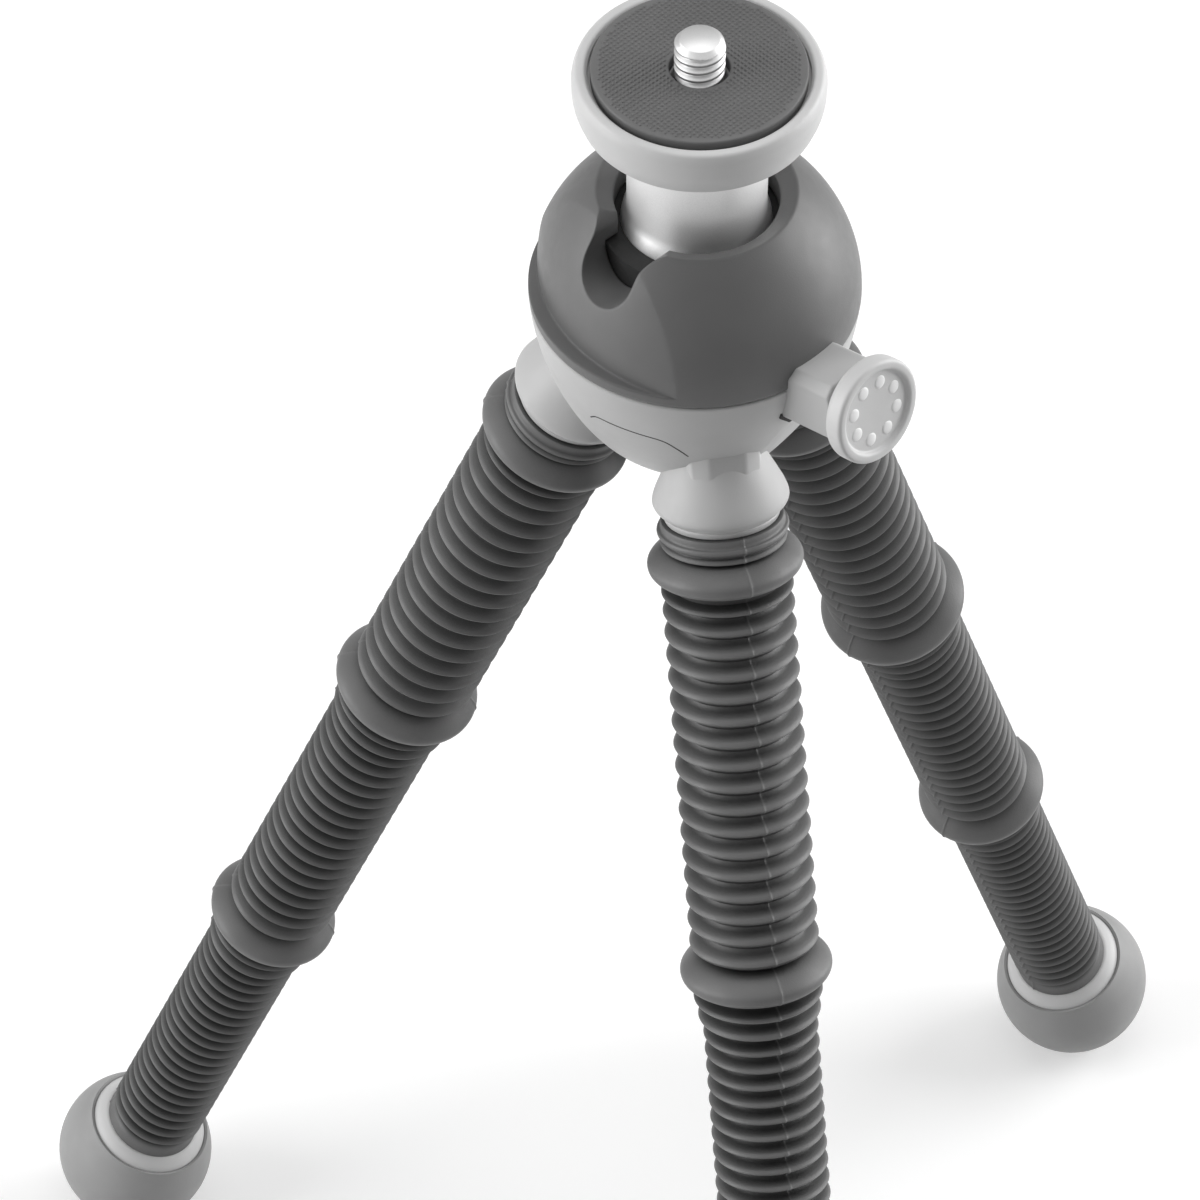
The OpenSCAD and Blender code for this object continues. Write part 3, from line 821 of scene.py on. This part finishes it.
def screw():
    """Camera screw with a real helical thread and a chamfered end"""
    top = node_top("camera_screw")
    bottom = node_bottom("camera_screw")
    around, rows = 72, 90
    root = SCREW_R - THREAD_DEPTH
    points, faces = [(0, 0, bottom)], []
    start = bottom + THREAD_START
    for row in range(rows + 1):
        z = start + (top - start) * row / rows
        for i in range(around):
            a = 2 * math.pi * i / around
            phase = (z / THREAD_PITCH - i / around) % 1.0
            height = max(0.0, min(1.0, 1.6 * (0.5 - abs(phase - 0.5)) / 0.5 - 0.15))
            r = root + THREAD_DEPTH * height
            r = min(r, SCREW_TIP_R + max(0.0, top - z) * SCREW_TIP_SLOPE)
            points.append((r * math.cos(a), r * math.sin(a), z))
    for row in range(rows):
        for i in range(around):
            j = (i + 1) % around
            a, b = 1 + row * around, 1 + (row + 1) * around
            faces.append((a + i, a + j, b + j, b + i))
    last = 1 + rows * around
    points.append((0, 0, top))
    for i in range(around):
        j = (i + 1) % around
        faces.append((0, 1 + j, 1 + i))
        faces.append((last + i, last + j, len(points) - 1))
    made = make_object("camera_screw_thread", points, faces, UPRIGHT, 50)
    face_outwards(made)
    dress(made, STEEL)
    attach(made, "plate")
    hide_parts("camera_screw")


def stem():
    """Silver ball and its neck, waisted just over the ball"""
    centre = joint_place("head_tilt").z
    top = node_bottom("plate")
    outline = [(0, centre - HEAD_BALL_R)]
    outline += [(HEAD_BALL_R * math.cos(a), centre + HEAD_BALL_R * math.sin(a))
                for a in (math.radians(-88 + 110 * i / 44) for i in range(45))]
    outline += curve_through([
        (8.82, centre + 4.4),
        (8.78, centre + 6.2),
        (8.86, centre + 10.0),
        (9.1, centre + 15.0),
        (9.35, top + 0.15),
    ], 6)
    outline += [(4.0, top + 0.15), (4.0, top + 3.5), (0, top + 3.5)]
    made = lathe("ball_stem_silver", outline, UPRIGHT, sides=128, closed=False)
    dress(made, SILVER)
    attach(made, "ball")
    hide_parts("ball_stem")


def lock_frame():
    """Local +Z runs out along the lock knob's axis"""
    out = Vector(JOINTS["knob_turn"]["axis"]).normalized()
    side = Vector((0, 0, 1)).cross(out).normalized()
    placed = Matrix((out.cross(side), side, out)).transposed()
    if placed.determinant() < 0:
        placed = Matrix((side.cross(out), side, out)).transposed()
    placed = placed.to_4x4()
    placed.translation = joint_place("knob_turn")
    return placed


def knob(place):
    """Disc with a rounded rim and a sunk face"""
    back = KNOB_OUT - KNOB_T
    outline = rounded([
        (0, back),
        (KNOB_R - 0.9, back),
        (KNOB_R, back + 0.7),
        (KNOB_R, KNOB_OUT),
        (KNOB_R - 1.25, KNOB_OUT),
        (KNOB_R - 1.55, KNOB_OUT - FACE_SUNK),
        (0, KNOB_OUT - FACE_SUNK),
    ], {1: 0.3, 2: 0.6, 3: 0.75, 4: 0.45, 5: 0.2}, 6)
    made = lathe("lock_knob_disc", outline, place, sides=144, closed=False)
    dress(made, KNOB_PLASTIC)
    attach(made, "knob")
    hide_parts("lock_knob")


def knob_dots(place):
    """Eight low domed dots in the knob's face"""
    points, faces = [], []
    around, rows = 24, 4
    for dot in range(DOT_COUNT):
        turn = 2 * math.pi * (dot + 0.5) / DOT_COUNT
        x, y = DOT_RING_R * math.cos(turn), DOT_RING_R * math.sin(turn)
        first = len(points)
        for row in range(rows + 1):
            lift = math.sin(math.pi / 2 * row / rows)
            r = DOT_R * math.cos(math.pi / 2 * row / rows) if row < rows else 0.02
            for i in range(around):
                a = 2 * math.pi * i / around
                points.append((x + r * math.cos(a), y + r * math.sin(a),
                               KNOB_OUT - FACE_SUNK - 0.02 + DOT_LIFT * lift))
        for row in range(rows):
            for i in range(around):
                j = (i + 1) % around
                a, b = first + row * around, first + (row + 1) * around
                faces.append((a + i, a + j, b + j, b + i))
        faces.append(tuple(first + rows * around + i for i in range(around)))
        faces.append(tuple(first + i for i in reversed(range(around))))
    made = make_object("lock_dots_domed", points, faces, place, 60)
    face_outwards(made)
    dress(made, WHITE_PLASTIC)
    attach(made, "knob")
    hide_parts("lock_dots")


def bowl_radius(z):
    """Outer radius of the bowl at a height"""
    sine = min(1.0, max(0.0, (SEAM - z) / BOWL_DEPTH)) ** (1 / BOWL_FALL)
    return BOWL_R * math.sqrt(max(0.0, 1 - sine * sine)) ** BOWL_WIDTH


def bowl():
    """Light bowl: a lathe with one flank cut off flat, its seam line and its lock boss"""
    outline = [(0, SEAM - 1.5), (CAVITY_R, SEAM - 1.5), (CAVITY_R + 0.4, SEAM)]
    outline += [(BOWL_R - 0.7, SEAM), (BOWL_R - 0.2, SEAM - 0.12)]
    for i in range(1, 41):
        a = math.radians(90 * i / 40)
        outline.append((BOWL_R * math.cos(a) ** BOWL_WIDTH if i < 40 else 0,
                        SEAM - BOWL_DEPTH * math.sin(a) ** BOWL_FALL))
    made = lathe("bowl_shell", outline, UPRIGHT, sides=180, closed=False)
    flank = (facing(CUT_AZ, CUT_EL), CUT_OUT)
    carve(made, [clipped_block("flank_tool", [flank], Vector((0, 0, SEAM)))])
    dress(made, BOWL_PLASTIC)
    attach(made, "hub")
    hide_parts("hub_bowl")
    bowl_seam()
    boss(LOCK)


def facing(azimuth, elevation):
    """Unit direction from two angles"""
    turn, tilt = math.radians(azimuth), math.radians(elevation)
    return Vector((math.cos(turn) * math.cos(tilt), math.sin(turn) * math.cos(tilt),
                   math.sin(tilt)))


def mesh_object(name, work):
    """An object from a bmesh in millimetres, which is then freed"""
    points = [v.co.copy() for v in work.verts]
    faces = [[v.index for v in f.verts] for f in work.faces]
    work.free()
    return make_object(name, points, faces, UPRIGHT)


def clipped_block(name, planes, centre):
    """The part of a large block that lies beyond every (direction, distance) plane"""
    work = bmesh.new()
    bmesh.ops.create_cube(work, size=BLOCK)
    bmesh.ops.translate(work, verts=work.verts, vec=centre)
    for normal, distance in planes:
        whole = list(work.verts) + list(work.edges) + list(work.faces)
        cut = bmesh.ops.bisect_plane(work, geom=whole, dist=1e-6, plane_no=normal,
                                     plane_co=centre + normal * distance, clear_inner=True)
        rim = [e for e in cut["geom_cut"] if isinstance(e, bmesh.types.BMEdge)]
        bmesh.ops.contextual_create(work, geom=rim)
    bmesh.ops.recalc_face_normals(work, faces=work.faces)
    return mesh_object(name, work)


def carve(obj, tools):
    """Cuts closed tools out of a piece and removes them"""
    for tool in tools:
        cut = obj.modifiers.new("cut", "BOOLEAN")
        cut.operation = "DIFFERENCE"
        cut.solver = "EXACT"
        cut.object = tool
    graph = bpy.context.evaluated_depsgraph_get()
    carved = bpy.data.meshes.new_from_object(obj.evaluated_get(graph))
    obj.modifiers.clear()
    obj.data = carved
    for tool in tools:
        bpy.data.objects.remove(tool)
    obj.data.shade_smooth()
    obj.data.set_sharp_from_angle(angle=math.radians(CARVED_SHARP))


def notch_tool():
    """Round-bottomed slot with rounded shoulders, cut outwards from the dome's axis"""
    half = NOTCH_W / 2
    bend = [math.pi * i / 24 for i in range(25)]
    outline = [(-half * math.cos(a), NOTCH_UP - half * math.sin(a)) for a in bend]
    shoulder = [(half + SHOULDER_R - SHOULDER_R * math.cos(a),
                 LIP_UP - SHOULDER_R + SHOULDER_R * math.sin(a))
                for a in (math.pi / 2 * i / 8 for i in range(9))]
    wide = half + SHOULDER_R + SHOULDER_FREE
    outline += shoulder + [(wide, LIP_UP + 1), (wide, LIP_UP + 8)]
    outline += [(-wide, LIP_UP + 8), (-wide, LIP_UP + 1)]
    outline += [(-y, z) for y, z in reversed(shoulder)]
    out = facing(NOTCH_AZ, 0)
    side = Vector((-out.y, out.x, 0))
    points = [out * reach + side * y + Vector((0, 0, SEAM + z))
              for reach in NOTCH_REACH for y, z in outline]
    made = make_object("notch_tool", points, prism_faces(len(outline)), UPRIGHT)
    face_outwards(made)
    return made


def facet_tool():
    """What lies outside the facet's sphere, over the ledge and on the facet's side"""
    centre = Vector((0, 0, DOME_Z))
    out = facing(FACET_AZ, 0)
    over = (Vector((0, 0, 1)), SEAM + LEDGE_UP - DOME_Z)
    made = clipped_block("facet_tool", [(out, FACET_FROM), over], centre)
    work = bmesh.new()
    bmesh.ops.create_uvsphere(work, u_segments=240, v_segments=150, radius=FACET_R)
    bmesh.ops.translate(work, verts=work.verts, vec=centre - out * FACET_OFF)
    carve(made, [mesh_object("facet_ball", work)])
    return made


def dome():
    """Dark dome: dished mouth, facet with a ledge under it, and the notch"""
    foot_z = SEAM + 0.02
    outline = [(CAVITY_R, foot_z), (DOME_R - 0.35, foot_z), (DOME_R - 0.05, SEAM + 0.3)]
    first = math.degrees(math.asin((SEAM + 0.6 - DOME_Z) / DOME_R))
    steps = 60
    for i in range(steps + 1):
        a = math.radians(first + (DISH_EDGE_EL - first) * i / steps)
        outline.append((DOME_R * math.cos(a), DOME_Z + DOME_R * math.sin(a)))
    lip = len(outline) - 1
    lip_z = SEAM + LIP_UP - DISH
    outline += [(MOUTH_R + 0.15, lip_z), (MOUTH_R, lip_z - 0.2),
                (MOUTH_R, SEAM + MOUTH_UP), (CAVITY_R, SEAM + MOUTH_UP)]
    made = lathe("dome_shell", rounded(outline, {lip: LIP_ROUND}, 6), UPRIGHT, sides=240)
    carve(made, [facet_tool(), notch_tool()])
    dress(made, DARK_PLASTIC)
    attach(made, "hub")
    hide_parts("dome")


def bowl_seam():
    """Fine dark line between the bowl's two mouldings"""
    points, faces, rows = [], [], []
    around = 8
    for azimuth, z in curve_through([Vector(p) for p in SEAM_PATH], 8):
        a = math.radians(azimuth)
        rows.append(Vector((bowl_radius(z) * math.cos(a), bowl_radius(z) * math.sin(a), z)))
    for i, here in enumerate(rows):
        along = (rows[min(i + 1, len(rows) - 1)] - rows[max(i - 1, 0)]).normalized()
        out = Vector((here.x, here.y, 0.6 * (here.z - SEAM))).normalized()
        side = along.cross(out).normalized()
        for k in range(around):
            a = 2 * math.pi * k / around
            points.append(here + side * (SEAM_LINE_HALF_W * math.cos(a))
                          + out * (SEAM_LINE_HALF_D * math.sin(a)))
    for i in range(len(rows) - 1):
        for k in range(around):
            j = (k + 1) % around
            a, b = i * around, (i + 1) * around
            faces.append((a + k, a + j, b + j, b + k))
    made = make_object("bowl_seam_line", points, faces, UPRIGHT, 80)
    face_outwards(made)
    dress(made, BLACK_PLASTIC)
    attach(made, "hub")


def boss(place):
    """Chamfered square stub that carries the lock knob, and the dark gap round it"""
    knob_face = KNOB_OUT - KNOB_T - BOSS_TO_KNOB
    for name, half, end, finish, soft in (
        ("lock_boss", BOSS_W / 2, knob_face, BOWL_PLASTIC, 0.25),
        ("lock_boss_gap", BOSS_W / 2 + BOSS_GAP, BOSS_GAP_OUT, BLACK_PLASTIC, 0.0),
    ):
        flat = half - BOSS_CUT
        corners = [(half, -flat), (half, flat), (flat, half), (-flat, half),
                   (-half, flat), (-half, -flat), (-flat, -half), (flat, -half)]
        points = [(x, y, z) for z in (BOSS_FROM, end) for x, y in corners]
        faces = [(i, (i + 1) % 8, 8 + (i + 1) % 8, 8 + i) for i in range(8)]
        faces += [tuple(range(7, -1, -1)), tuple(range(8, 16))]
        made = make_object(name, points, faces, place)
        face_outwards(made)
        if soft:
            bevel_edges(made, soft)
        dress(made, finish)
        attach(made, "hub")


plate_shell()
pad()
screw()
stem()
LOCK = lock_frame()
bowl()
dome()
knob(LOCK)
knob_dots(LOCK)

for plain, finish in (
    ("ball_seat", BLACK_PLASTIC),
    ("pressure_cup", WHITE_PLASTIC),
    ("lock_screw", STEEL),
    ("lock_pin", STEEL),
):
    dress(frame["nodes"][plain], finish)


# Stage

def seen_rays(nodes, links):
    """1 for rays that the camera sees straight, or in a mirror or through glass"""
    rays = nodes.new("ShaderNodeLightPath")
    total = rays.outputs["Is Camera Ray"]
    for kind in ("Is Glossy Ray", "Is Transmission Ray"):
        add = nodes.new("ShaderNodeMath")
        add.operation = "ADD"
        add.use_clamp = True
        links.new(total, add.inputs[0])
        links.new(rays.outputs[kind], add.inputs[1])
        total = add.outputs[0]
    return total


def add_floor():
    """Pale floor that takes the shadow, with a faint glow that only the camera sees"""
    mesh = bpy.data.meshes.new("floor")
    half = FLOOR_HALF
    mesh.from_pydata([(-half, -half, 0), (half, -half, 0), (half, half, 0), (-half, half, 0)],
                     [], [(0, 1, 2, 3)])
    floor = bpy.data.objects.new("floor", mesh)
    bpy.context.scene.collection.objects.link(floor)
    material, nodes, links, shader = new_material("floor_white")
    shader.inputs["Base Color"].default_value = (0.8, 0.8, 0.8, 1)
    shader.inputs["Roughness"].default_value = 0.8
    shader.inputs["Specular IOR Level"].default_value = 0.1
    glow = nodes.new("ShaderNodeEmission")
    glow.inputs["Strength"].default_value = FLOOR_GLOW
    both = nodes.new("ShaderNodeAddShader")
    camera_only = nodes.new("ShaderNodeMixShader")
    links.new(shader.outputs[0], both.inputs[0])
    links.new(glow.outputs[0], both.inputs[1])
    links.new(seen_rays(nodes, links), camera_only.inputs["Fac"])
    links.new(shader.outputs[0], camera_only.inputs[1])
    links.new(both.outputs[0], camera_only.inputs[2])
    links.new(camera_only.outputs[0], nodes["Material Output"].inputs["Surface"])
    mesh.materials.append(material)


def add_lamp(name, place, target, size, power):
    """Soft rectangular lamp; place, target and size in metres, power in watts"""
    data = bpy.data.lights.new(name, "AREA")
    data.shape = "RECTANGLE"
    data.size, data.size_y = size
    data.energy = power
    lamp = bpy.data.objects.new(name, data)
    lamp.location = place
    lamp.rotation_euler = (Vector(target) - Vector(place)).to_track_quat("-Z", "Y").to_euler()
    bpy.context.scene.collection.objects.link(lamp)


def add_world():
    """White to the camera, and a weak fill light to the object"""
    world = bpy.data.worlds.new("studio")
    bpy.context.scene.world = world
    world.use_nodes = True
    nodes, links = world.node_tree.nodes, world.node_tree.links
    background = nodes["Background"]
    background.inputs["Color"].default_value = (1, 1, 1, 1)
    background.inputs["Strength"].default_value = WORLD_LIGHT
    white = nodes.new("ShaderNodeBackground")
    white.inputs["Strength"].default_value = 1.0
    mix = nodes.new("ShaderNodeMixShader")
    links.new(seen_rays(nodes, links), mix.inputs["Fac"])
    links.new(background.outputs[0], mix.inputs[1])
    links.new(white.outputs[0], mix.inputs[2])
    links.new(mix.outputs[0], nodes["World Output"].inputs["Surface"])


def add_camera():
    """The photograph's viewpoint, a metre away and 47 degrees up"""
    data = bpy.data.cameras.new("camera")
    data.lens = CAMERA_LENS
    data.sensor_width = 36
    data.shift_x, data.shift_y = CAMERA_SHIFT
    data.clip_start, data.clip_end = 0.01, 20
    camera = bpy.data.objects.new("camera", data)
    back = facing(CAMERA_AZ, CAMERA_EL)
    roll = Matrix.Rotation(math.radians(CAMERA_ROLL), 3, "Z")
    turned = (-back).to_track_quat("-Z", "Y").to_matrix() @ roll
    stand = Vector(CAMERA_TARGET) + back * CAMERA_AWAY
    camera.matrix_world = Matrix.Translation(stand) @ turned.to_4x4()
    bpy.context.scene.collection.objects.link(camera)
    bpy.context.scene.camera = camera


add_floor()
add_lamp("soft_top", (0.0, 0.1, 0.95), (0, 0, 0.1), (0.9, 0.7), 3)
add_lamp("soft_left", (-0.95, 0.1, 0.45), (0, 0, 0.14), (0.7, 0.9), 8)
add_lamp("soft_right", (0.95, 0.1, 0.4), (0, 0, 0.14), (0.7, 0.9), 10)
add_world()
add_camera()
bpy.context.scene.view_settings.view_transform = "Standard"
